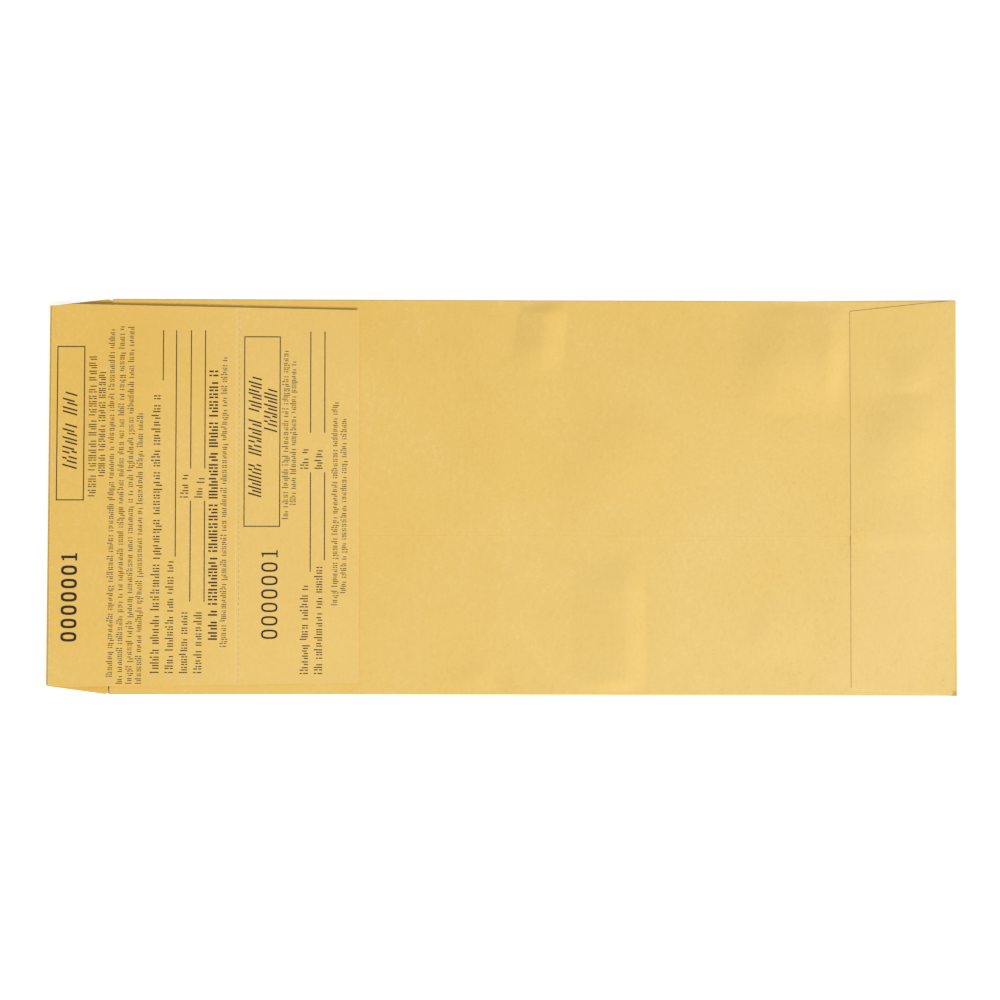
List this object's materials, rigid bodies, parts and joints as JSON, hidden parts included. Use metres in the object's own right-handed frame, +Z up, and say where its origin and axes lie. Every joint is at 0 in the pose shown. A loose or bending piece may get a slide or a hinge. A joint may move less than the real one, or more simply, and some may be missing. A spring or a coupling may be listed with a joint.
{
  "type": "deposit envelope",
  "caption": "Open-end kraft paper deposit envelope with a gummed seal flap and a folded strip of perforated numbered checks.",
  "frame": {"origin": "on the table, under the middle of the folded envelope", "axes": "+X from the folded edge of the check strip to the bottom fold, +Y to the upper side fold, +Z up from the table through the back of the envelope"},
  "size_m": [0.2624, 0.1142, 0.0014],
  "materials": {
    "kraft": "matte",
    "glue": "matte",
    "gum": "satin",
    "ink": "matte"
  },
  "bodies": {
    "pocket": {"front_panel": "kraft", "lower_side_fold": "kraft", "lower_side_panel": "kraft", "upper_side_fold": "kraft", "upper_side_panel": "kraft", "centre_seam_glue": "glue", "bottom_fold": "kraft", "bottom_flap": "kraft", "bottom_flap_glue": "glue", "mouth_score": "kraft"},
    "flap": {"seal_flap": "kraft", "seal_gum": "gum"},
    "crease": {"check_fold_lower": "kraft"},
    "a_ties": {"check_fold_upper": "kraft", "a_perforation_ties": "kraft"},
    "a_stub": {"a_check": "kraft"},
    "b_ties": {"b_score": "kraft", "b_perforation_ties": "kraft"},
    "b_stub": {"b_check": "kraft"}
  },
  "joints": [
    {"name": "flap_close", "type": "hinge", "parent": "pocket", "child": "flap", "pos_m": [-0.11325, 0, 0.00058], "axis": [0, 1, 0], "range_deg": [0, 180]},
    {"name": "check_swing", "type": "hinge", "parent": "flap", "child": "crease", "pos_m": [-0.13054, 0, 0.00072], "axis": [0, -1, 0], "range_deg": [0, 180], "deforming": ["check_fold_lower"]},
    {"name": "check_unfold", "type": "hinge", "parent": "crease", "child": "a_ties", "pos_m": [-0.13054, 0, 0.00158], "axis": [0, -1, 0], "range_deg": [0, 180], "deforming": ["check_fold_upper"]},
    {"name": "a_tear_off", "type": "slide", "parent": "a_ties", "child": "a_stub", "axis": [0, 1, 0], "range_m": [0, 0.125]},
    {"name": "b_fold", "type": "hinge", "parent": "a_stub", "child": "b_ties", "pos_m": [-0.07655, 0, 0.00158], "axis": [0, -1, 0], "range_deg": [0, 180]},
    {"name": "b_tear_off", "type": "slide", "parent": "b_ties", "child": "b_stub", "axis": [0, 1, 0], "range_m": [0, 0.125]}
  ],
  "couplings": [
    {"joint": "check_swing", "follows": "flap_close", "ratio": 1}
  ]
}
